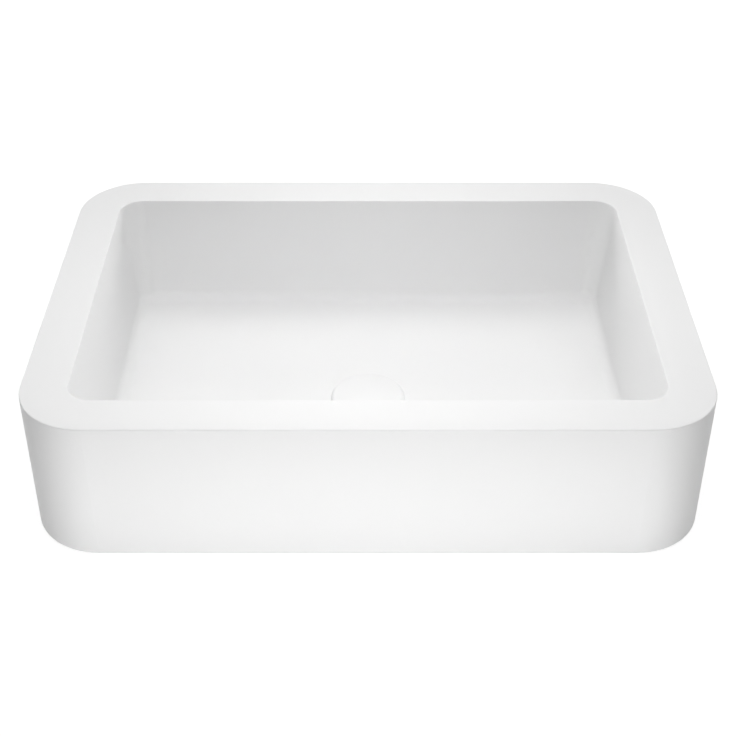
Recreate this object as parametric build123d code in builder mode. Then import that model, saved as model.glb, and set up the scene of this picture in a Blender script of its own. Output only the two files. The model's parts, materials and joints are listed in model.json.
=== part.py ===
from build123d import *
from math import atan2, cos, degrees, pi, radians, sin, sqrt
import os

os.makedirs("parts", exist_ok=True)

# A rectangular cast-stone basin that stands on a countertop, with its push-to-open drain.
# Frame: X to the right, Y to the back, Z up, in millimetres. Z = 0 is the countertop, and the
# origin is the centre of the basin's footprint on it.

# Basin, outside
BASIN_WIDTH = 580.0
BASIN_DEPTH = 416.0
BASIN_HEIGHT = 135.0
OUTER_CORNER = 60.0
RIM_ARRIS = 1.0
FOOT_ROUND = 3.0

# Well: its walls lean in a little from the rim to the floor
RIM_WIDTH = 40.0
WELL_MOUTH_CORNER = 21.0
WELL_FOOT_CORNER = 16.0
WELL_LEAN = 12.0
WELL_FLOOR_ROUND = 12.0
FLOOR_EDGE_HEIGHT = 24.5
FLOOR_FALL = 10.0
FLAT_AROUND_CAP = 3.0

# Hollow underside
SKIRT_WALL = 13.0
BOWL_WALL = 13.0
DECK_THICKNESS = 14.0
UNDERSIDE_RECESS = 5.0
WEB_THICKNESS = 12.0
WEB_SPACING = 260.0
DRAIN_BOSS_RADIUS = 45.0

# Drain: its axis stands a little forward of the basin's centre
DRAIN_FORWARD = 8.0
FLANGE_RADIUS = 31.5
FLANGE_THICKNESS = 2.0
FLANGE_SIDE_CLEARANCE = 0.5
BARREL_RADIUS = 20.95
BARREL_BORE_RADIUS = 18.0
BARREL_LENGTH = 75.0
BARREL_HOLE_CLEARANCE = 1.55
MOUTH_CONE_DEPTH = 3.0
TRAP_THREAD_LENGTH = 20.0
RELIEF_WIDTH = 2.0
RELIEF_DEPTH = 0.8
GASKET_THICKNESS = 1.5
RING_CLEARANCE = 0.3
THREAD_CLEARANCE = 0.1

# Spider that carries the mechanism in the barrel
HUB_RADIUS = 11.0
HUB_HEIGHT = 14.0
HUB_DEPTH = 16.0
ARM_WIDTH = 4.0
ARM_HEIGHT = 6.0
ARM_COUNT = 3

# What clamps the drain under a countertop
COUNTER_THICKNESS = 20.0
COUNTER_GASKET_THICKNESS = 5.0
COUNTER_GASKET_RADIUS = 31.0
SLIP_WASHER_THICKNESS = 1.5
SLIP_WASHER_RADIUS = 30.0
LOCK_NUT_ACROSS_FLATS = 54.0
LOCK_NUT_HEIGHT = 11.0

# Push-push mechanism
CAP_LIFT = 9.0
HOUSING_RADIUS = 8.0
HOUSING_BORE_RADIUS = 6.6
HOUSING_COLLAR_RADIUS = 10.5
HOUSING_COLLAR_HEIGHT = 4.0
HOUSING_HEAD_RADIUS = 8.5
HOUSING_HEAD_HEIGHT = 6.0
HOUSING_TOP_WALL = 3.5
STEM_RADIUS = 4.0
STEM_CLEARANCE = 0.15
WIPER_WIRE_RADIUS = 0.9
WIPER_SEAT_CLEARANCE = 0.1
SLEEVE_LENGTH = 6.0
SLEEVE_WALL = 1.4
TOOTH_COUNT = 8
TOOTH_GAP = 1.4
SLEEVE_TOOTH_HEIGHT = 2.5
CROWN_TOOTH_HEIGHT = 0.8
CROWN_HEIGHT = 5.0
ROTOR_CORE_RADIUS = 4.6
ROTOR_HEIGHT = 6.0
ROTOR_RIB_COUNT = 4
ROTOR_RIB_WIDTH = 1.5
ROTOR_CLEARANCE = 0.3
SLEEVE_TO_ROTOR = 0.5
CROWN_TO_ROTOR = 0.2
PILOT_RADIUS = 2.0
PILOT_TAIL = 1.5
SPRING_WIRE_RADIUS = 0.5
SPRING_RADIUS = 5.0
SPRING_TURNS = 5
SPRING_ROOM = 10.0
SPRING_SEAT_CLEARANCE = 0.1
PLUG_LENGTH = 4.0
PLUG_HEAD_HEIGHT = 2.0
PLUG_VENT_RADIUS = 1.5
PLUG_SLOT_WIDTH = 1.6
PLUG_SLOT_DEPTH = 1.0

# Cap and what carries it
CAP_RADIUS = 35.5
CAP_GAP = 0.3
CAP_FOOT_ROUND = 0.8
CAP_SIDE_HEIGHT = 2.2
CAP_EDGE_ROLL = 5.0
CAP_CROWN_ANGLE = 10.0
CAP_RECESS_DEPTH = 3.7
CAP_RECESS_RADIUS = 22.8
INSERT_RADIUS = 22.5
INSERT_THICKNESS = 2.2
INSERT_BOSS_RADIUS = 7.0
INSERT_BOSS_LENGTH = 2.8
INSERT_ROOF = 0.8
SEAL_THICKNESS = 1.5
SEAL_RADIUS = 22.3
SEAL_LIP_WIDTH = 1.9
SEAL_LIP_DEPTH = 1.5
LOCK_NUT_SMALL_ACROSS_FLATS = 13.0
LOCK_NUT_SMALL_HEIGHT = 3.5

# Heights worked out from the sizes above
floor_drain = FLOOR_EDGE_HEIGHT - FLOOR_FALL
flange_under = floor_drain - FLANGE_THICKNESS
gasket_under = flange_under - GASKET_THICKNESS
barrel_end = flange_under - BARREL_LENGTH
hub_top = floor_drain - HUB_DEPTH
housing_top = hub_top + HOUSING_COLLAR_HEIGHT + HOUSING_HEAD_HEIGHT
sleeve_top = housing_top - HOUSING_TOP_WALL
sleeve_bottom = sleeve_top - SLEEVE_LENGTH
rotor_top = sleeve_bottom - SLEEVE_TO_ROTOR - CAP_LIFT
rotor_bottom = rotor_top - ROTOR_HEIGHT
crown_bottom = rotor_top + CROWN_TO_ROTOR
crown_top = crown_bottom + CROWN_HEIGHT
plug_top = rotor_bottom - SPRING_ROOM
housing_bottom = plug_top - PLUG_LENGTH
counter_under = -COUNTER_THICKNESS
washer_top = counter_under - COUNTER_GASKET_THICKNESS
nut_top = washer_top - SLIP_WASHER_THICKNESS
cap_foot = floor_drain + CAP_GAP
insert_top = cap_foot + CAP_RECESS_DEPTH
insert_under = insert_top - INSERT_THICKNESS
boss_end = insert_under - INSERT_BOSS_LENGTH
stem_top = insert_top - INSERT_ROOF

# Plan sizes worked out from the sizes above
mouth_width = BASIN_WIDTH - 2 * RIM_WIDTH
mouth_depth = BASIN_DEPTH - 2 * RIM_WIDTH
lean_per_height = WELL_LEAN / (BASIN_HEIGHT - FLOOR_EDGE_HEIGHT)
mouth_radius = BARREL_BORE_RADIUS + MOUTH_CONE_DEPTH
sleeve_radius = HOUSING_BORE_RADIUS - THREAD_CLEARANCE
crown_radius = sleeve_radius - SLEEVE_WALL - STEM_CLEARANCE

drain_section = Plane.XZ.offset(DRAIN_FORWARD)
drain_axis = Axis((0, -DRAIN_FORWARD, 0), (0, 0, 1))


def drain_level(height):
    """The level plane at this height, centred on the drain's axis."""
    return Plane((0, -DRAIN_FORWARD, height))


def eight_sided(half_x, half_y, corner):
    """A rounded rectangle as four straight sides and four quarter arcs, from the front side on."""
    x, y = half_x - corner, half_y - corner
    k = corner * sin(radians(45))
    front = Line((-x, -half_y), (x, -half_y))
    a = ThreePointArc(front @ 1, (x + k, -y - k), (half_x, -y))
    right = Line(a @ 1, (half_x, y))
    b = ThreePointArc(right @ 1, (x + k, y + k), (x, half_y))
    back = Line(b @ 1, (-x, half_y))
    c = ThreePointArc(back @ 1, (-x - k, y + k), (-half_x, y))
    left = Line(c @ 1, (-half_x, -y))
    ThreePointArc(left @ 1, (-x - k, -y - k), front @ 0)


def eight_arcs(radius, side_turn, end_turn, middle_y):
    """A circle as eight arcs whose ends look towards the ends of a rounded rectangle's sides."""
    ends = [-90 - side_turn, -90 + side_turn, -end_turn, end_turn]
    ends += [angle + 180 for angle in ends] + [270 - side_turn]
    for start, end in zip(ends, ends[1:]):
        CenterArc((0, middle_y), radius, start, end - start)


def well_plan(height, wall=0.0):
    """Width, depth and corner radius of the well, or of the bowl round it, at this height."""
    drop = BASIN_HEIGHT - height
    shrink = drop * lean_per_height
    tighten = (WELL_MOUTH_CORNER - WELL_FOOT_CORNER) / WELL_LEAN * shrink
    grow = 2 * (wall - shrink)
    return mouth_width + grow, mouth_depth + grow, WELL_MOUTH_CORNER + wall - tighten


# Room under the deck and floor, between the skirt and the bowl, stiffened by webs
with BuildPart() as underside_room:
    with BuildSketch():
        RectangleRounded(
            BASIN_WIDTH - 2 * SKIRT_WALL, BASIN_DEPTH - 2 * SKIRT_WALL, OUTER_CORNER - SKIRT_WALL
        )
    extrude(amount=BASIN_HEIGHT - DECK_THICKNESS)
    with BuildSketch(Plane.XY.offset(UNDERSIDE_RECESS)):
        RectangleRounded(*well_plan(UNDERSIDE_RECESS, BOWL_WALL))
    with BuildSketch(Plane.XY.offset(BASIN_HEIGHT)):
        RectangleRounded(*well_plan(BASIN_HEIGHT, BOWL_WALL))
    loft(ruled=True, mode=Mode.SUBTRACT)
    with BuildSketch(Plane.XY.offset(UNDERSIDE_RECESS)):
        Rectangle(BASIN_WIDTH, WEB_THICKNESS)
        with GridLocations(WEB_SPACING, 0, 2, 1):
            Rectangle(WEB_THICKNESS, BASIN_DEPTH)
    extrude(amount=BASIN_HEIGHT, mode=Mode.SUBTRACT)
    with BuildSketch(drain_level(0)):
        Circle(DRAIN_BOSS_RADIUS)
    extrude(amount=UNDERSIDE_RECESS, mode=Mode.SUBTRACT)

with BuildPart() as basin_body:
    with BuildSketch():
        RectangleRounded(BASIN_WIDTH, BASIN_DEPTH, OUTER_CORNER)
    extrude(amount=BASIN_HEIGHT)
    fillet(basin_body.edges().group_by(Axis.Z)[0], FOOT_ROUND)

    foot_width, foot_depth, foot_corner = well_plan(FLOOR_EDGE_HEIGHT)
    with BuildSketch(Plane.XY.offset(FLOOR_EDGE_HEIGHT)):
        with BuildLine():
            eight_sided(foot_width / 2, foot_depth / 2, foot_corner)
        make_face()
    with BuildSketch(Plane.XY.offset(BASIN_HEIGHT)):
        with BuildLine():
            eight_sided(mouth_width / 2, mouth_depth / 2, WELL_MOUTH_CORNER)
        make_face()
    loft(ruled=True, mode=Mode.SUBTRACT)

    # The floor falls from the foot of the walls to a flat ring round the drain
    straight_x = foot_width / 2 - foot_corner
    straight_y = foot_depth / 2 - foot_corner
    side_turn = degrees(atan2(straight_x, foot_depth / 2))
    end_turn = degrees(atan2(straight_y, foot_width / 2))
    with BuildSketch(Plane.XY.offset(FLOOR_EDGE_HEIGHT)):
        with BuildLine():
            eight_sided(foot_width / 2, foot_depth / 2, foot_corner)
        make_face()
    with BuildSketch(Plane.XY.offset(floor_drain)):
        with BuildLine():
            eight_arcs(CAP_RADIUS + FLAT_AROUND_CAP, side_turn, end_turn, -DRAIN_FORWARD)
        make_face()
    loft(ruled=True, mode=Mode.SUBTRACT)
    wall_foot = basin_body.edges().filter_by_position(
        Axis.Z, FLOOR_EDGE_HEIGHT - 0.01, FLOOR_EDGE_HEIGHT + 0.01
    )
    fillet(wall_foot, WELL_FLOOR_ROUND)
    fillet(basin_body.edges().group_by(Axis.Z)[-1], RIM_ARRIS)

    add(underside_room.part, mode=Mode.SUBTRACT)

    # Recess for the flange and its gasket, and the hole for the barrel
    with BuildSketch(drain_level(floor_drain)):
        Circle(FLANGE_RADIUS + FLANGE_SIDE_CLEARANCE)
    extrude(amount=-(FLANGE_THICKNESS + GASKET_THICKNESS), mode=Mode.SUBTRACT)
    with BuildSketch(drain_level(0)):
        Circle(BARREL_RADIUS + BARREL_HOLE_CLEARANCE)
    extrude(amount=floor_drain, mode=Mode.SUBTRACT)
basin_body.part.label = "basin_body"
export_step(basin_body.part, "parts/basin_body.step")

# Turned waste: flange, coned mouth, threaded barrel with a relief above the trap's thread
with BuildPart() as drain_body:
    edge = 0.6
    relief_bottom = barrel_end + TRAP_THREAD_LENGTH
    relief_floor = BARREL_RADIUS - RELIEF_DEPTH
    with BuildSketch(drain_section):
        with BuildLine():
            Polyline(
                (BARREL_BORE_RADIUS, barrel_end),
                (BARREL_RADIUS - edge, barrel_end),
                (BARREL_RADIUS, barrel_end + edge),
                (BARREL_RADIUS, relief_bottom),
                (relief_floor, relief_bottom + RELIEF_DEPTH),
                (relief_floor, relief_bottom + RELIEF_WIDTH),
                (BARREL_RADIUS, relief_bottom + RELIEF_WIDTH + RELIEF_DEPTH),
                (BARREL_RADIUS, flange_under),
                (FLANGE_RADIUS, flange_under),
                (FLANGE_RADIUS, floor_drain - edge),
                (FLANGE_RADIUS - edge, floor_drain),
                (mouth_radius, floor_drain),
                (BARREL_BORE_RADIUS, floor_drain - MOUTH_CONE_DEPTH),
                close=True,
            )
        make_face()
    revolve(axis=drain_axis)
    with BuildSketch(drain_level(hub_top)):
        Circle(HUB_RADIUS)
    extrude(amount=-HUB_HEIGHT)
    with BuildSketch(drain_level(hub_top - (HUB_HEIGHT - ARM_HEIGHT) / 2)):
        arm_reach = (BARREL_BORE_RADIUS + BARREL_RADIUS) / 2
        with PolarLocations(arm_reach / 2, ARM_COUNT, start_angle=90):
            Rectangle(arm_reach, ARM_WIDTH)
    extrude(amount=-ARM_HEIGHT)
    with BuildSketch(drain_level(hub_top)):
        Circle(HOUSING_RADIUS + THREAD_CLEARANCE)
    extrude(amount=-HUB_HEIGHT, mode=Mode.SUBTRACT)
drain_body.part.label = "drain_body"
export_step(drain_body.part, "parts/drain_body.step")

with BuildPart() as flange_gasket:
    with BuildSketch(drain_level(gasket_under)):
        Circle(FLANGE_RADIUS)
        Circle(BARREL_RADIUS + RING_CLEARANCE, mode=Mode.SUBTRACT)
    extrude(amount=GASKET_THICKNESS)
flange_gasket.part.label = "flange_gasket"
export_step(flange_gasket.part, "parts/flange_gasket.step")

with BuildPart() as counter_gasket:
    with BuildSketch(drain_level(washer_top)):
        Circle(COUNTER_GASKET_RADIUS)
        Circle(BARREL_RADIUS + RING_CLEARANCE, mode=Mode.SUBTRACT)
    extrude(amount=COUNTER_GASKET_THICKNESS)
    outer_edges = counter_gasket.edges().filter_by(GeomType.CIRCLE).sort_by(SortBy.RADIUS)[-2:]
    fillet(outer_edges, COUNTER_GASKET_THICKNESS / 4)
counter_gasket.part.label = "counter_gasket"
export_step(counter_gasket.part, "parts/counter_gasket.step")

with BuildPart() as slip_washer:
    with BuildSketch(drain_level(nut_top)):
        Circle(SLIP_WASHER_RADIUS)
        Circle(BARREL_RADIUS + RING_CLEARANCE, mode=Mode.SUBTRACT)
    extrude(amount=SLIP_WASHER_THICKNESS)
slip_washer.part.label = "slip_washer"
export_step(slip_washer.part, "parts/slip_washer.step")

# Hexagon nut with its corners turned off on both faces
with BuildPart() as lock_nut:
    with BuildSketch(drain_level(nut_top)):
        RegularPolygon(LOCK_NUT_ACROSS_FLATS / 2, 6, major_radius=False)
    extrude(amount=-LOCK_NUT_HEIGHT)
    with BuildSketch(drain_section):
        with BuildLine():
            corner_cut = 1.2
            corner_radius = LOCK_NUT_ACROSS_FLATS / sqrt(3)
            face_radius = LOCK_NUT_ACROSS_FLATS / 2
            Polyline(
                (BARREL_RADIUS + THREAD_CLEARANCE, nut_top),
                (face_radius, nut_top),
                (corner_radius, nut_top - corner_cut),
                (corner_radius, nut_top - LOCK_NUT_HEIGHT + corner_cut),
                (face_radius, nut_top - LOCK_NUT_HEIGHT),
                (BARREL_RADIUS + THREAD_CLEARANCE, nut_top - LOCK_NUT_HEIGHT),
                close=True,
            )
        make_face()
    revolve(axis=drain_axis, mode=Mode.INTERSECT)
lock_nut.part.label = "lock_nut"
export_step(lock_nut.part, "parts/lock_nut.step")

# Turned housing: it screws down into the hub until its collar sits on the hub's top
wiper_ring_radius = STEM_RADIUS + STEM_CLEARANCE + WIPER_WIRE_RADIUS
wiper_seat_radius = wiper_ring_radius + WIPER_WIRE_RADIUS + WIPER_SEAT_CLEARANCE
wiper_seat_depth = 2 * (WIPER_WIRE_RADIUS + WIPER_SEAT_CLEARANCE)
with BuildPart() as click_housing:
    with BuildSketch(drain_section):
        with BuildLine():
            Polyline(
                (HOUSING_BORE_RADIUS, housing_bottom),
                (HOUSING_RADIUS, housing_bottom),
                (HOUSING_RADIUS, hub_top),
                (HOUSING_COLLAR_RADIUS, hub_top),
                (HOUSING_COLLAR_RADIUS, hub_top + HOUSING_COLLAR_HEIGHT),
                (HOUSING_HEAD_RADIUS, hub_top + HOUSING_COLLAR_HEIGHT),
                (HOUSING_HEAD_RADIUS, housing_top),
                (wiper_seat_radius, housing_top),
                (wiper_seat_radius, housing_top - wiper_seat_depth),
                (STEM_RADIUS + STEM_CLEARANCE, housing_top - wiper_seat_depth),
                (STEM_RADIUS + STEM_CLEARANCE, sleeve_top),
                (HOUSING_BORE_RADIUS, sleeve_top),
                close=True,
            )
        make_face()
    revolve(axis=drain_axis)
    # Two flats on the collar for a spanner
    with BuildSketch(drain_level(hub_top)):
        with GridLocations(4 * HOUSING_HEAD_RADIUS, 0, 2, 1):
            Rectangle(2 * HOUSING_HEAD_RADIUS, 2 * HOUSING_COLLAR_RADIUS)
    extrude(amount=HOUSING_COLLAR_HEIGHT, mode=Mode.SUBTRACT)
click_housing.part.label = "click_housing"
export_step(click_housing.part, "parts/click_housing.step")

with BuildPart() as stem_wiper:
    with BuildSketch(drain_section):
        with Locations((wiper_ring_radius, housing_top - wiper_seat_depth / 2)):
            Circle(WIPER_WIRE_RADIUS)
    revolve(axis=drain_axis)
stem_wiper.part.label = "stem_wiper"
export_step(stem_wiper.part, "parts/stem_wiper.step")

# Fixed sleeve: the gaps between its teeth open downwards
with BuildPart() as index_sleeve:
    with BuildSketch(drain_level(sleeve_bottom)):
        Circle(sleeve_radius)
        Circle(sleeve_radius - SLEEVE_WALL, mode=Mode.SUBTRACT)
    extrude(amount=SLEEVE_LENGTH)
    with BuildSketch(drain_level(sleeve_bottom)):
        with PolarLocations(sleeve_radius, TOOTH_COUNT):
            Rectangle(4 * SLEEVE_WALL, TOOTH_GAP)
    extrude(amount=SLEEVE_TOOTH_HEIGHT, mode=Mode.SUBTRACT)
index_sleeve.part.label = "index_sleeve"
export_step(index_sleeve.part, "parts/index_sleeve.step")

# Rotor: a core on the plunger's pilot pin, with ribs that reach out to the housing's bore
with BuildPart() as index_rotor:
    with BuildSketch(drain_level(rotor_bottom)):
        Circle(HOUSING_BORE_RADIUS - ROTOR_CLEARANCE)
    extrude(amount=ROTOR_HEIGHT)
    with BuildSketch(drain_level(rotor_bottom)):
        Circle(HOUSING_BORE_RADIUS)
        Circle(ROTOR_CORE_RADIUS, mode=Mode.SUBTRACT)
        with PolarLocations(ROTOR_CORE_RADIUS, ROTOR_RIB_COUNT):
            Rectangle(2 * ROTOR_CORE_RADIUS, ROTOR_RIB_WIDTH, mode=Mode.SUBTRACT)
    extrude(amount=ROTOR_HEIGHT, mode=Mode.SUBTRACT)
    with BuildSketch(drain_level(rotor_top)):
        with PolarLocations(ROTOR_CORE_RADIUS, TOOTH_COUNT, start_angle=180 / TOOTH_COUNT):
            Rectangle(ROTOR_CORE_RADIUS, TOOTH_GAP)
    extrude(amount=-CROWN_TOOTH_HEIGHT, mode=Mode.SUBTRACT)
    with BuildSketch(drain_level(rotor_bottom)):
        Circle(PILOT_RADIUS + STEM_CLEARANCE)
    extrude(amount=ROTOR_HEIGHT, mode=Mode.SUBTRACT)
index_rotor.part.label = "index_rotor"
export_step(index_rotor.part, "parts/index_rotor.step")

# Plunger: stem, toothed crown that pushes the rotor, and the pilot pin that the rotor turns on
with BuildPart() as plunger:
    with BuildSketch(drain_level(crown_bottom)):
        Circle(crown_radius)
    extrude(amount=CROWN_HEIGHT)
    with BuildSketch(drain_level(crown_bottom)):
        with PolarLocations(crown_radius, TOOTH_COUNT):
            Rectangle(crown_radius, TOOTH_GAP)
    extrude(amount=CROWN_TOOTH_HEIGHT, mode=Mode.SUBTRACT)
    with BuildSketch(drain_level(crown_top)):
        Circle(STEM_RADIUS)
    extrude(amount=stem_top - crown_top)
    chamfer(plunger.edges().group_by(Axis.Z)[-1], 2 * THREAD_CLEARANCE)
    with BuildSketch(drain_level(crown_bottom)):
        Circle(PILOT_RADIUS)
    extrude(amount=-(CROWN_TO_ROTOR + ROTOR_HEIGHT + PILOT_TAIL))
plunger.part.label = "plunger"
export_step(plunger.part, "parts/plunger.step")

# Spring: a round wire on a helix, each quarter turn drawn as two arcs that meet in tangent
spring_low = plug_top + SPRING_SEAT_CLEARANCE + SPRING_WIRE_RADIUS
spring_high = rotor_bottom - SPRING_SEAT_CLEARANCE - SPRING_WIRE_RADIUS
spring_pitch = (spring_high - spring_low) / SPRING_TURNS


def spring_point(quarter):
    angle = quarter * pi / 2
    height = spring_low + spring_pitch * quarter / 4
    return Vector(
        SPRING_RADIUS * cos(angle), SPRING_RADIUS * sin(angle) - DRAIN_FORWARD, height
    )


def spring_heading(quarter):
    angle = quarter * pi / 2
    return Vector(
        -SPRING_RADIUS * sin(angle), SPRING_RADIUS * cos(angle), spring_pitch / (2 * pi)
    ).normalized()


with BuildPart() as return_spring:
    with BuildLine() as spring_path:
        for quarter in range(4 * SPRING_TURNS):
            start, end = spring_point(quarter), spring_point(quarter + 1)
            leave, arrive = spring_heading(quarter), spring_heading(quarter + 1)
            chord, both = end - start, leave + arrive
            bend = 2 * (1 - leave.dot(arrive))
            reach = (sqrt(chord.dot(both) ** 2 + bend * chord.dot(chord)) - chord.dot(both)) / bend
            near, far = start + leave * reach, end - arrive * reach
            middle = (near + far) * 0.5
            TangentArc(start, middle, tangent=leave)
            TangentArc(middle, end, tangent=far - near)
    with BuildSketch(Plane(spring_point(0), z_dir=spring_heading(0))):
        Circle(SPRING_WIRE_RADIUS)
    sweep(path=spring_path.wire())
print("return_spring: least gap between turns", round(spring_pitch - 2 * SPRING_WIRE_RADIUS, 3))
return_spring.part.label = "return_spring"
export_step(return_spring.part, "parts/return_spring.step")

with BuildPart() as bottom_plug:
    with BuildSketch(drain_level(plug_top)):
        Circle(HOUSING_BORE_RADIUS - THREAD_CLEARANCE)
    extrude(amount=-PLUG_LENGTH)
    with BuildSketch(drain_level(housing_bottom)):
        Circle(HOUSING_RADIUS)
    extrude(amount=-PLUG_HEAD_HEIGHT)
    with BuildSketch(drain_level(housing_bottom - PLUG_HEAD_HEIGHT)):
        Rectangle(2 * HOUSING_RADIUS, PLUG_SLOT_WIDTH)
    extrude(amount=PLUG_SLOT_DEPTH, mode=Mode.SUBTRACT)
    with BuildSketch(drain_level(plug_top)):
        Circle(PLUG_VENT_RADIUS)
    extrude(amount=-(PLUG_LENGTH + PLUG_HEAD_HEIGHT), mode=Mode.SUBTRACT)
bottom_plug.part.label = "bottom_plug"
export_step(bottom_plug.part, "parts/bottom_plug.step")

# Brass insert glued into the cap: a disc with a threaded boss for the stem
with BuildPart() as cap_insert:
    with BuildSketch(drain_level(insert_top)):
        Circle(INSERT_RADIUS)
    extrude(amount=-INSERT_THICKNESS)
    with BuildSketch(drain_level(insert_under)):
        Circle(INSERT_BOSS_RADIUS)
    extrude(amount=-INSERT_BOSS_LENGTH)
    with BuildSketch(drain_level(boss_end)):
        Circle(STEM_RADIUS + THREAD_CLEARANCE)
    extrude(amount=stem_top + THREAD_CLEARANCE - boss_end, mode=Mode.SUBTRACT)
cap_insert.part.label = "cap_insert"
export_step(cap_insert.part, "parts/cap_insert.step")

# Rubber disc whose lip follows the cone of the drain's mouth
with BuildPart() as cap_seal:
    seal_under = insert_under - SEAL_THICKNESS
    lip_top_radius = mouth_radius - CAP_GAP
    lip_radius = lip_top_radius - SEAL_LIP_DEPTH
    with BuildSketch(drain_section):
        with BuildLine():
            Polyline(
                (INSERT_BOSS_RADIUS + RING_CLEARANCE, insert_under),
                (SEAL_RADIUS, insert_under),
                (SEAL_RADIUS, seal_under),
                (lip_top_radius, seal_under),
                (lip_radius, seal_under - SEAL_LIP_DEPTH),
                (lip_radius - SEAL_LIP_WIDTH, seal_under - SEAL_LIP_DEPTH),
                (lip_radius - SEAL_LIP_WIDTH, seal_under),
                (INSERT_BOSS_RADIUS + RING_CLEARANCE, seal_under),
                close=True,
            )
        make_face()
    revolve(axis=drain_axis)
cap_seal.part.label = "cap_seal"
export_step(cap_seal.part, "parts/cap_seal.step")

with BuildPart() as height_lock_nut:
    with BuildSketch(drain_level(boss_end)):
        RegularPolygon(LOCK_NUT_SMALL_ACROSS_FLATS / 2, 6, major_radius=False)
        Circle(STEM_RADIUS + THREAD_CLEARANCE, mode=Mode.SUBTRACT)
    extrude(amount=-LOCK_NUT_SMALL_HEIGHT)
height_lock_nut.part.label = "height_lock_nut"
export_step(height_lock_nut.part, "parts/height_lock_nut.step")

# Domed cap: a short upright edge, a rolled shoulder and a low crown
with BuildPart() as drain_cap:
    side_foot = cap_foot + CAP_FOOT_ROUND
    side_top = cap_foot + CAP_SIDE_HEIGHT
    with BuildSketch(drain_section):
        with BuildLine():
            roll = JernArc((CAP_RADIUS, side_top), (0, 1), CAP_EDGE_ROLL, 90 - CAP_CROWN_ANGLE)
            shoulder = roll @ 1
            crown_sphere = shoulder.X / sin(radians(CAP_CROWN_ANGLE))
            crown = crown_sphere * (1 - cos(radians(CAP_CROWN_ANGLE)))
            top = TangentArc(shoulder, (0, shoulder.Y + crown), tangent=roll % 1)
            Polyline(
                top @ 1,
                (0, insert_top),
                (CAP_RECESS_RADIUS, insert_top),
                (CAP_RECESS_RADIUS, cap_foot),
                (CAP_RADIUS - CAP_FOOT_ROUND, cap_foot),
            )
            JernArc((CAP_RADIUS - CAP_FOOT_ROUND, cap_foot), (1, 0), CAP_FOOT_ROUND, 90)
            Line((CAP_RADIUS, side_foot), (CAP_RADIUS, side_top))
        make_face()
    revolve(axis=drain_axis)
drain_cap.part.label = "drain_cap"
export_step(drain_cap.part, "parts/drain_cap.step")
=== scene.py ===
import json
from math import cos, pi, radians, sin

import bmesh
import bpy
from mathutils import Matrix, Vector


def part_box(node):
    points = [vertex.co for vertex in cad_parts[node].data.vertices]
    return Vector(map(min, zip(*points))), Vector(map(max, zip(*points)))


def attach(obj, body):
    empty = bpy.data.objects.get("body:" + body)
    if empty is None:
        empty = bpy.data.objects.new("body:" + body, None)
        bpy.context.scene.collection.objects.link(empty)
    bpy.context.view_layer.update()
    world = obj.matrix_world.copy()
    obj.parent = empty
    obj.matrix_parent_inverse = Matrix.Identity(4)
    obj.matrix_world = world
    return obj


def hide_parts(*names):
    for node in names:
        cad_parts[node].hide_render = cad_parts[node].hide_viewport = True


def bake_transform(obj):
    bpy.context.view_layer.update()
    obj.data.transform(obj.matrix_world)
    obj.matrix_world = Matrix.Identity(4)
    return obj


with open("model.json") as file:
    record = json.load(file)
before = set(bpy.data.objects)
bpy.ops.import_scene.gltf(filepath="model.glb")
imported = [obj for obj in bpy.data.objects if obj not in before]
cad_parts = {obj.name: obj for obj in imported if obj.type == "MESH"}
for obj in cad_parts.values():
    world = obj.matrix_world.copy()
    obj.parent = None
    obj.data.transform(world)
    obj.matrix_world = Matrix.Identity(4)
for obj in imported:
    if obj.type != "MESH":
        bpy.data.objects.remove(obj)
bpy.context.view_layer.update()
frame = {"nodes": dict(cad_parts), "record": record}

# A cast-stone countertop basin with its push-to-open drain. All lengths are in metres.

# The drain's axis stands this far in front of the origin
DRAIN_Y = -0.008


# Node helpers

def shader_tree(name):
    """A new material with a Principled shader: (material, its tree, the shader)."""
    mat = bpy.data.materials.new(name)
    mat.use_nodes = True
    tree = mat.node_tree
    return mat, tree, tree.nodes["Principled BSDF"]


def put(tree, socket, value):
    """Give an input socket a value, or the link that carries one."""
    if isinstance(value, bpy.types.NodeSocket):
        tree.links.new(value, socket)
    else:
        socket.default_value = value


def node(tree, kind, values=None, **settings):
    """A node of that kind, with its settings and with values or links for its inputs."""
    made = tree.nodes.new(kind)
    for key, value in settings.items():
        setattr(made, key, value)
    for key, value in (values or {}).items():
        put(tree, made.inputs[key], value)
    return made


def calc(tree, operation, a, b=0.0):
    """One Math node: its output socket."""
    return node(tree, "ShaderNodeMath", {0: a, 1: b}, operation=operation).outputs[0]


def noise(tree, place, scale, detail=2.0, roughness=0.5):
    """A noise value from 0 to 1, at that many features per metre."""
    values = {"Vector": place, "Scale": scale, "Detail": detail, "Roughness": roughness}
    return node(tree, "ShaderNodeTexNoise", values).outputs["Fac"]


def spread(tree, value, low, high, out_low, out_high):
    """The value taken from one range to another, and held inside it."""
    values = {
        "Value": value, "From Min": low, "From Max": high, "To Min": out_low, "To Max": out_high,
    }
    return node(tree, "ShaderNodeMapRange", values).outputs["Result"]


def mixed(tree, share, first, second):
    """Two colours mixed by a share from 0 to 1."""
    made = node(tree, "ShaderNodeMix", data_type="RGBA")
    for index, value in ((0, share), (6, first), (7, second)):
        put(tree, made.inputs[index], value)
    return made.outputs[2]


def shade_of(colour, factor):
    """An opaque colour, lighter or darker by that factor."""
    return [v * factor for v in colour] + [1.0]


def bump(tree, height, distance, normal=None):
    """The normal bent by a height from 0 to 1 over that many metres."""
    values = {"Height": height, "Distance": distance}
    if normal is not None:
        values["Normal"] = normal
    return node(tree, "ShaderNodeBump", values).outputs["Normal"]


def place_of(tree):
    """The point in the row frame, in metres, which rides with the piece."""
    return node(tree, "ShaderNodeTexCoord").outputs["Object"]


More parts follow.
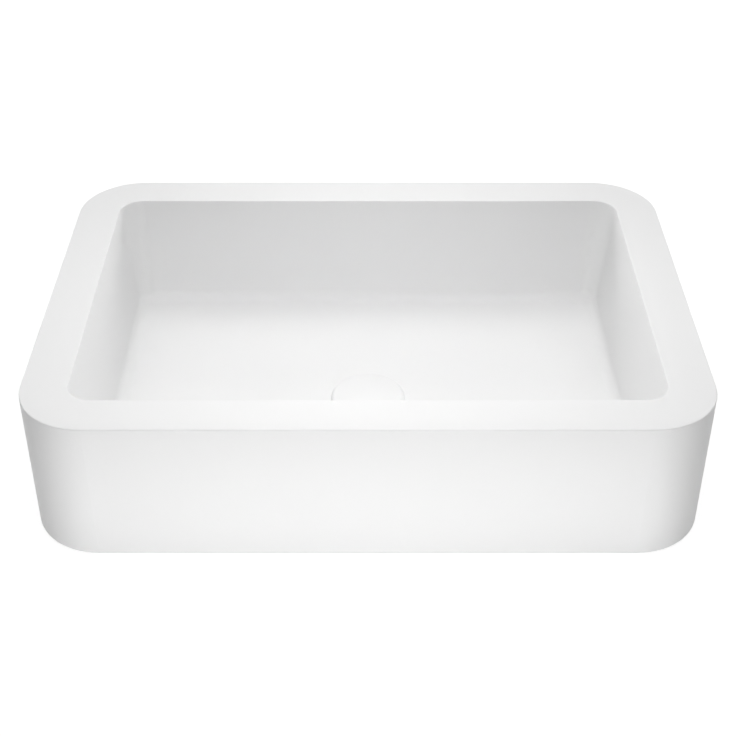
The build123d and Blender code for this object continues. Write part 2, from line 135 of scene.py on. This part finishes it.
def cylinder_place(tree, place, axis_y=0.0):
    """A point's distance from the upright axis at that Y, and its height."""
    split = node(tree, "ShaderNodeSeparateXYZ", {"Vector": place})
    x, y = split.outputs["X"], calc(tree, "SUBTRACT", split.outputs["Y"], axis_y)
    squares = calc(tree, "ADD", calc(tree, "MULTIPLY", x, x), calc(tree, "MULTIPLY", y, y))
    return calc(tree, "SQRT", squares), split.outputs["Z"]


def background_rays(tree):
    """1 for what the camera sees, straight or through gloss or glass, and 0 for bounced light."""
    ray = node(tree, "ShaderNodeLightPath").outputs
    seen = calc(tree, "ADD", ray["Is Camera Ray"], ray["Is Glossy Ray"])
    return calc(tree, "MINIMUM", calc(tree, "ADD", seen, ray["Is Transmission Ray"]), 1.0)


# Materials: the numbers of features are per metre, and the depths of bumps in metres

STONE_TONE = (0.82, 0.82, 0.82)
STONE_IOR = 1.5
CLOUD_FEATURES = 9.0
CLOUD_DEPTH = 0.00012
SAND_FEATURES = 520.0
SPECK_FEATURES = 1400.0
TURNED_FEATURES = 4500.0
TURNED_DEPTH = 0.000004
WEAR_FEATURES = 160.0
FLOW_FEATURES = 220.0
PORE_FEATURES = 2600.0
PORE_DEPTH = 0.00001


def cast_stone(name, tone, sand_depth):
    """Matt cast stone: near-white binder, faint mineral clouding and a fine sanded grain."""
    mat, tree, shader = shader_tree(name)
    place = place_of(tree)
    cloud = noise(tree, place, CLOUD_FEATURES, 3.0, 0.55)
    speck = noise(tree, place, SPECK_FEATURES, 2.0, 0.6)
    sanded = noise(tree, place, SAND_FEATURES, 3.0, 0.6)
    share = calc(
        tree, "ADD", calc(tree, "MULTIPLY", cloud, 0.6), calc(tree, "MULTIPLY", speck, 0.4)
    )
    colour = mixed(tree, share, shade_of(tone, 0.988), shade_of(tone, 1.006))
    rough = spread(tree, calc(tree, "ADD", sanded, cloud), 0.6, 1.4, 0.68, 0.78)
    wave = bump(tree, cloud, CLOUD_DEPTH)
    put(tree, shader.inputs["Base Color"], colour)
    put(tree, shader.inputs["Roughness"], rough)
    put(tree, shader.inputs["Normal"], bump(tree, sanded, sand_depth, wave))
    shader.inputs["IOR"].default_value = STONE_IOR
    return mat


def metal(name, colour, rough_low, rough_high):
    """Turned metal: fine rings round the drain's axis, and wear in its gloss and colour."""
    mat, tree, shader = shader_tree(name)
    place = place_of(tree)
    radius, height = cylinder_place(tree, place, DRAIN_Y)
    turned = node(tree, "ShaderNodeCombineXYZ", {"X": radius, "Z": height}).outputs[0]
    rings = noise(tree, turned, TURNED_FEATURES, 1.0)
    wear = noise(tree, place, WEAR_FEATURES, 3.0, 0.6)
    rough = spread(tree, calc(tree, "ADD", rings, wear), 0.5, 1.5, rough_low, rough_high)
    worn = mixed(tree, wear, shade_of(colour, 0.92), shade_of(colour, 1.0))
    put(tree, shader.inputs["Base Color"], worn)
    put(tree, shader.inputs["Roughness"], rough)
    put(tree, shader.inputs["Normal"], bump(tree, rings, TURNED_DEPTH))
    shader.inputs["Metallic"].default_value = 1.0
    return mat


def moulded(name, colour, rough_low, rough_high, sheen):
    """Moulded rubber or plastic: faint flow marks in its colour and gloss, and fine pores."""
    mat, tree, shader = shader_tree(name)
    place = place_of(tree)
    flow = noise(tree, place, FLOW_FEATURES, 4.0, 0.6)
    pores = noise(tree, place, PORE_FEATURES, 2.0, 0.5)
    marked = mixed(tree, flow, shade_of(colour, 0.9), shade_of(colour, 1.0))
    put(tree, shader.inputs["Base Color"], marked)
    put(tree, shader.inputs["Roughness"], spread(tree, flow, 0.3, 0.7, rough_low, rough_high))
    put(tree, shader.inputs["Normal"], bump(tree, pores, PORE_DEPTH))
    shader.inputs["Specular IOR Level"].default_value = sheen
    return mat


MATERIALS = {
    "cast_stone": cast_stone("cast_stone", STONE_TONE, sand_depth=0.00002),
    "cast_stone_cap": cast_stone("cast_stone_cap", STONE_TONE, sand_depth=0.000015),
    "chrome": metal("chrome", (0.78, 0.79, 0.8), 0.06, 0.14),
    "brass": metal("brass", (0.74, 0.58, 0.3), 0.24, 0.38),
    "rubber": moulded("rubber", (0.05, 0.05, 0.052), 0.62, 0.78, sheen=0.35),
    "nylon": moulded("nylon", (0.86, 0.85, 0.8), 0.38, 0.5, sheen=0.45),
    "spring_steel": metal("spring_steel", (0.6, 0.6, 0.6), 0.2, 0.32),
}
SLOTS = {part["node"]: part["material_slot"] for part in frame["record"]["subparts"]}
for name, piece in frame["nodes"].items():
    piece.data.materials.clear()
    piece.data.materials.append(MATERIALS[SLOTS[name]])


# Meshes made here

def shell(name, mesh, slot, keep_angle=35.0):
    """A new object from a finished mesh, smooth where its faces turn by less than that angle."""
    bmesh.ops.recalc_face_normals(mesh, faces=mesh.faces)
    data = bpy.data.meshes.new(name)
    mesh.to_mesh(data)
    mesh.free()
    data.shade_smooth()
    data.set_sharp_from_angle(angle=radians(keep_angle))
    data.materials.append(MATERIALS[slot])
    made = bpy.data.objects.new(name, data)
    bpy.context.scene.collection.objects.link(made)
    return made


def band(mesh, first, second):
    """Faces between two rings of the same number of points."""
    for k in range(len(first)):
        n = (k + 1) % len(first)
        mesh.faces.new((first[k], first[n], second[n], second[k]))


# Turned waste: flange, coned mouth, threaded barrel, and the spider that carries the mechanism

ROUND = 96
WASTE_LOW, WASTE_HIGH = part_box("drain_body")
FLANGE_RADIUS = 0.0315
FLANGE_THICKNESS = 0.002
FLANGE_ROUND = 0.0006
# How far the middle of the round lies inside the corner that it takes off, along both axes
FLANGE_ROUND_MIDDLE = 0.00017
BARREL_RADIUS = 0.02095
BORE_RADIUS = 0.018
MOUTH_CONE = 0.003
UPPER_THREAD_TOP = -0.003
RELIEF_TOP = -0.0397
RELIEF_WIDTH = 0.0028
RELIEF_DEPTH = 0.0008
END_CHAMFER = 0.0006
THREAD_PITCH = 0.002309
THREAD_DEPTH = 0.00148
# The thread's depth, as a share, at even steps along one pitch
THREAD_PROFILE = (0.0, 0.12, 0.75, 1.0, 0.75, 0.12)
THREAD_RUN_OUT = 1.5
HUB_RADIUS = 0.011
HUB_BORE_RADIUS = 0.0081
HUB_TOP = -0.0015
HUB_HEIGHT = 0.014
HUB_CHAMFER = 0.0004
ARM_ANGLES = (90, 210, 330)
ARM_REACHES = (0.01, 0.0194)
ARM_WIDTH = 0.004
ARM_TOP = -0.0055
ARM_HEIGHT = 0.006
ARM_CHAMFER = 0.0005


def ring(mesh, radius, height):
    """A level circle of points about the drain's axis."""
    return [
        mesh.verts.new((radius * cos(a), DRAIN_Y + radius * sin(a), height))
        for a in (2 * pi * k / ROUND for k in range(ROUND))
    ]


def turned_bands(mesh, outline):
    """Rings at each radius and height of the outline, joined in turn."""
    rings = [ring(mesh, *point) for point in outline]
    for first, second in zip(rings, rings[1:]):
        band(mesh, first, second)
    return rings


def thread_row(mesh, j, count, start):
    """One row of points along a threaded wall, a step below the row before it."""
    steps = len(THREAD_PROFILE)
    row = []
    for k in range(ROUND):
        share = k / ROUND
        to_end = min(j + share * steps, count - j + (1 - share) * steps)
        fade = min(max(to_end - 1.0, 0.0) / (THREAD_RUN_OUT * steps), 1.0)
        radius = BARREL_RADIUS - THREAD_DEPTH * fade * THREAD_PROFILE[j % steps]
        angle = 2 * pi * share
        height = start - (j / steps + share) * THREAD_PITCH
        row.append(mesh.verts.new((radius * cos(angle), DRAIN_Y + radius * sin(angle), height)))
    return row


def threaded_wall(mesh, top, bottom):
    """The wall between two rings, as one helical thread that runs out at both ends."""
    steps = len(THREAD_PROFILE)
    high, low = top[0].co.z, bottom[0].co.z
    count = int((high - low) / THREAD_PITCH - 1.5) * steps
    start = (high + low) / 2 + (count / steps + 1) * THREAD_PITCH / 2
    rows = [thread_row(mesh, j, count, start) for j in range(count + 1)]
    last = ROUND - 1
    for j in range(count):
        for k in range(last):
            mesh.faces.new((rows[j][k], rows[j][k + 1], rows[j + 1][k + 1], rows[j + 1][k]))
        # The end of a row meets the start of the row one pitch below
        if j + steps < count:
            after = j + steps
            mesh.faces.new((rows[j][last], rows[after][0], rows[after + 1][0], rows[j + 1][last]))
    for k in range(last):
        mesh.faces.new((top[k], top[k + 1], rows[0][k + 1], rows[0][k]))
        mesh.faces.new((rows[count][k], rows[count][k + 1], bottom[k + 1], bottom[k]))
    seam = [rows[j][0] for j in range(steps + 1)]
    mesh.faces.new([top[last], top[0], *seam, rows[0][last]])
    seam = [rows[j][last] for j in range(count - steps, count + 1)]
    mesh.faces.new([rows[count][0], bottom[0], bottom[last], *seam[::-1]])


def barrel():
    """The flange, the coned mouth and the barrel, with a relief groove between its two threads."""
    top, bottom = WASTE_HIGH.z, WASTE_LOW.z
    mesh = bmesh.new()
    flange = turned_bands(mesh, [
        (BORE_RADIUS, top - MOUTH_CONE),
        (BORE_RADIUS + MOUTH_CONE, top),
        (FLANGE_RADIUS - FLANGE_ROUND, top),
        (FLANGE_RADIUS - FLANGE_ROUND_MIDDLE, top - FLANGE_ROUND_MIDDLE),
        (FLANGE_RADIUS, top - FLANGE_ROUND),
        (FLANGE_RADIUS, top - FLANGE_THICKNESS),
        (BARREL_RADIUS, top - FLANGE_THICKNESS),
        (BARREL_RADIUS, UPPER_THREAD_TOP),
    ])
    floor_radius = BARREL_RADIUS - RELIEF_DEPTH
    relief = turned_bands(mesh, [
        (BARREL_RADIUS, RELIEF_TOP),
        (floor_radius, RELIEF_TOP - RELIEF_DEPTH),
        (floor_radius, RELIEF_TOP - RELIEF_WIDTH + RELIEF_DEPTH),
        (BARREL_RADIUS, RELIEF_TOP - RELIEF_WIDTH),
    ])
    end = turned_bands(mesh, [
        (BARREL_RADIUS, bottom + END_CHAMFER),
        (BARREL_RADIUS - END_CHAMFER, bottom),
        (BORE_RADIUS, bottom),
    ])
    threaded_wall(mesh, flange[-1], relief[0])
    threaded_wall(mesh, relief[-1], end[0])
    band(mesh, end[-1], flange[0])
    return shell("waste", mesh, "chrome")


def hub():
    """The spider's hub, a short tube with chamfered ends."""
    low, chamfer = HUB_TOP - HUB_HEIGHT, HUB_CHAMFER
    mesh = bmesh.new()
    rings = turned_bands(mesh, [
        (HUB_BORE_RADIUS, HUB_TOP),
        (HUB_RADIUS - chamfer, HUB_TOP),
        (HUB_RADIUS, HUB_TOP - chamfer),
        (HUB_RADIUS, low + chamfer),
        (HUB_RADIUS - chamfer, low),
        (HUB_BORE_RADIUS, low),
    ])
    band(mesh, rings[-1], rings[0])
    return shell("hub", mesh, "chrome")


def arms():
    """The spider's three arms, from inside the hub's wall to inside the barrel's."""
    half, low, chamfer = ARM_WIDTH / 2, ARM_TOP - ARM_HEIGHT, ARM_CHAMFER
    section = (
        (-half, ARM_TOP - chamfer), (chamfer - half, ARM_TOP),
        (half - chamfer, ARM_TOP), (half, ARM_TOP - chamfer),
        (half, low + chamfer), (half - chamfer, low),
        (chamfer - half, low), (-half, low + chamfer),
    )
    mesh = bmesh.new()
    for turn in ARM_ANGLES:
        along = Vector((cos(radians(turn)), sin(radians(turn)), 0))
        side = Vector((-along.y, along.x, 0))
        ends = [
            [
                mesh.verts.new(along * reach + side * across + Vector((0, DRAIN_Y, height)))
                for across, height in section
            ]
            for reach in ARM_REACHES
        ]
        band(mesh, *ends)
        mesh.faces.new(ends[0][::-1])
        mesh.faces.new(ends[1])
    return shell("arms", mesh, "chrome")


def waste():
    """The barrel with its spider, joined to one closed mesh."""
    made = barrel()
    inside = (hub(), arms())
    for other in inside:
        join = made.modifiers.new("join", "BOOLEAN")
        join.operation = "UNION"
        join.solver = "EXACT"
        join.object = other
    graph = bpy.context.evaluated_depsgraph_get()
    whole = bpy.data.meshes.new_from_object(made.evaluated_get(graph))
    made.modifiers.clear()
    made.data = whole
    for other in inside:
        bpy.data.objects.remove(other)
    return made


drain = waste()
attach(drain, "basin")
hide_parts("drain_body")


# Return spring: round wire in open turns, with its end turns lying close

SPRING_WIRE_RADIUS = 0.0005
SPRING_TURNS = 6.2
SPRING_CLOSED_SHARE = 0.1
SPRING_STEPS = 360
SPRING_SIDES = 16


def coil_spring():
    low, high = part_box("return_spring")
    wire = SPRING_WIRE_RADIUS
    mean = (high.x - low.x) / 2 - wire
    centre = Vector(((low.x + high.x) / 2, (low.y + high.y) / 2, 0))
    mesh = bmesh.new()
    rings = []
    for i in range(SPRING_STEPS + 1):
        t = i / SPRING_STEPS
        angle = 2 * pi * SPRING_TURNS * t
        open_share = (t - SPRING_CLOSED_SHARE) / (1 - 2 * SPRING_CLOSED_SHARE)
        rise = 0.5 - 0.5 * cos(pi * min(max(open_share, 0.0), 1.0))
        height = low.z + wire + (high.z - low.z - 2 * wire) * rise
        out = Vector((cos(angle), sin(angle), 0))
        middle = centre + out * mean + Vector((0, 0, height))
        rings.append([
            mesh.verts.new(middle + out * wire * cos(a) + Vector((0, 0, wire * sin(a))))
            for a in (2 * pi * k / SPRING_SIDES for k in range(SPRING_SIDES))
        ])
    for first, second in zip(rings, rings[1:]):
        band(mesh, first, second)
    mesh.faces.new(rings[0][::-1])
    mesh.faces.new(rings[-1])
    return shell("coil_spring", mesh, "spring_steel", keep_angle=180.0)


spring = coil_spring()
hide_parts("return_spring")
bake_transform(spring)


# Floor: a plain pale countertop that shows as white, and keeps a soft shadow

FLOOR_REACH = 9.0
FLOOR_DROP = 0.0002
FLOOR_TONE = 0.86
SHADOW_TONE = 0.2
GLOW_NEAR, GLOW_FAR = 0.88, 1.0
GLOW_GROWS_FROM, GLOW_GROWS_TO = 0.5, 1.5


def pale_floor():
    mesh = bmesh.new()
    bmesh.ops.create_grid(mesh, x_segments=8, y_segments=8, size=FLOOR_REACH)
    data = bpy.data.meshes.new("floor")
    mesh.to_mesh(data)
    mesh.free()
    made = bpy.data.objects.new("floor", data)
    bpy.context.scene.collection.objects.link(made)
    made.location = (0, 0, -FLOOR_DROP)
    mat = bpy.data.materials.new("floor")
    mat.use_nodes = True
    tree = mat.node_tree
    tree.nodes.clear()
    bounce = node(tree, "ShaderNodeBsdfDiffuse", {"Color": shade_of([FLOOR_TONE] * 3, 1.0)})
    shown = node(tree, "ShaderNodeBsdfDiffuse", {"Color": shade_of([SHADOW_TONE] * 3, 1.0)})
    # Away from the object the light falls off, so the glow makes up for it
    far, _ = cylinder_place(tree, place_of(tree))
    strength = spread(tree, far, GLOW_GROWS_FROM, GLOW_GROWS_TO, GLOW_NEAR, GLOW_FAR)
    glow = node(tree, "ShaderNodeEmission", {"Strength": strength})
    white = node(tree, "ShaderNodeAddShader", {0: shown.outputs[0], 1: glow.outputs[0]})
    shares = {0: background_rays(tree), 1: bounce.outputs[0], 2: white.outputs[0]}
    mix = node(tree, "ShaderNodeMixShader", shares)
    node(tree, "ShaderNodeOutputMaterial", {"Surface": mix.outputs[0]})
    data.materials.append(mat)
    return made


pale_floor()


# Light: soft lamps that the camera doesn't see

STONE_CENTRE = (0, 0, 0.07)
RIM_CENTRE = (0, 0, 0.1)

# Each lamp's name, place, aim, size, power in watts and spread in degrees
LAMPS = (
    ("overhead", (0, -0.35, 0.95), RIM_CENTRE, (0.5, 0.3), 3.55, 180),
    ("low_front", (0, -0.6, 0.06), (0, -0.208, 0.04), (0.9, 0.1), 0.47, 180),
    ("foot_fill", (0, -0.4, 0.03), (0, -0.208, 0.05), (0.7, 0.05), 0.31, 180),
    ("drain_spot", (0, 0.05, 1.3), RIM_CENTRE, (0.3, 0.2), 0.1, 30),
    ("well_spot", (0, -1.0, 1.1), (0, 0.15, 0.07), (0.4, 0.2), 0.09, 30),
)
# Lamps that stand in pairs, one each side of the basin: the right one is given
LAMP_PAIRS = (
    ("high_back", (0.899, 0.899, 2.105), STONE_CENTRE, (1.2, 1.2), 12.4, 180),
    ("low_back", (1.676, 1.676, 0.62), STONE_CENTRE, (1.2, 1.2), 25.3, 180),
    ("front", (0.8, -1.2, 0.5), RIM_CENTRE, (0.6, 0.6), 1.24, 180),
)


def softbox(name, place, aim, size, power, spread_angle):
    data = bpy.data.lights.new(name, "AREA")
    data.shape = "RECTANGLE"
    data.size, data.size_y = size
    data.energy = power
    data.spread = radians(spread_angle)
    made = bpy.data.objects.new(name, data)
    bpy.context.scene.collection.objects.link(made)
    made.location = place
    made.rotation_euler = (Vector(aim) - Vector(place)).to_track_quat("-Z", "Y").to_euler()
    made.visible_camera = False


for lamp in LAMPS:
    softbox(*lamp)
for name, (x, y, z), *rest in LAMP_PAIRS:
    softbox(name + "_right", (x, y, z), *rest)
    softbox(name + "_left", (-x, y, z), *rest)


def studio():
    """A world that shows white behind the object, and adds no light to it."""
    world = bpy.data.worlds.new("studio")
    world.use_nodes = True
    tree = world.node_tree
    tree.nodes.clear()
    unlit = node(tree, "ShaderNodeBackground", {"Color": (1, 1, 1, 1), "Strength": 0.0})
    white = node(tree, "ShaderNodeBackground", {"Color": (1, 1, 1, 1), "Strength": 1.0})
    shares = {0: background_rays(tree), 1: unlit.outputs[0], 2: white.outputs[0]}
    mix = node(tree, "ShaderNodeMixShader", shares)
    node(tree, "ShaderNodeOutputWorld", {"Surface": mix.outputs[0]})
    return world


bpy.context.scene.world = studio()


# Camera: straight in front of the basin, looking down on it

CAMERA_PLACE = (0, -1.07318, 0.81837)
CAMERA_DOWN_ANGLE = 35.727
CAMERA_LENS = 67.542
CAMERA_SENSOR = 36.0
CAMERA_FAR = 50.0

camera_data = bpy.data.cameras.new("camera")
camera_data.sensor_width = CAMERA_SENSOR
camera_data.lens = CAMERA_LENS
camera_data.clip_end = CAMERA_FAR
camera = bpy.data.objects.new("camera", camera_data)
bpy.context.scene.collection.objects.link(camera)
camera.location = CAMERA_PLACE
camera.rotation_euler = (radians(90 - CAMERA_DOWN_ANGLE), 0, 0)
bpy.context.scene.camera = camera

bpy.context.scene.view_settings.view_transform = "Standard"
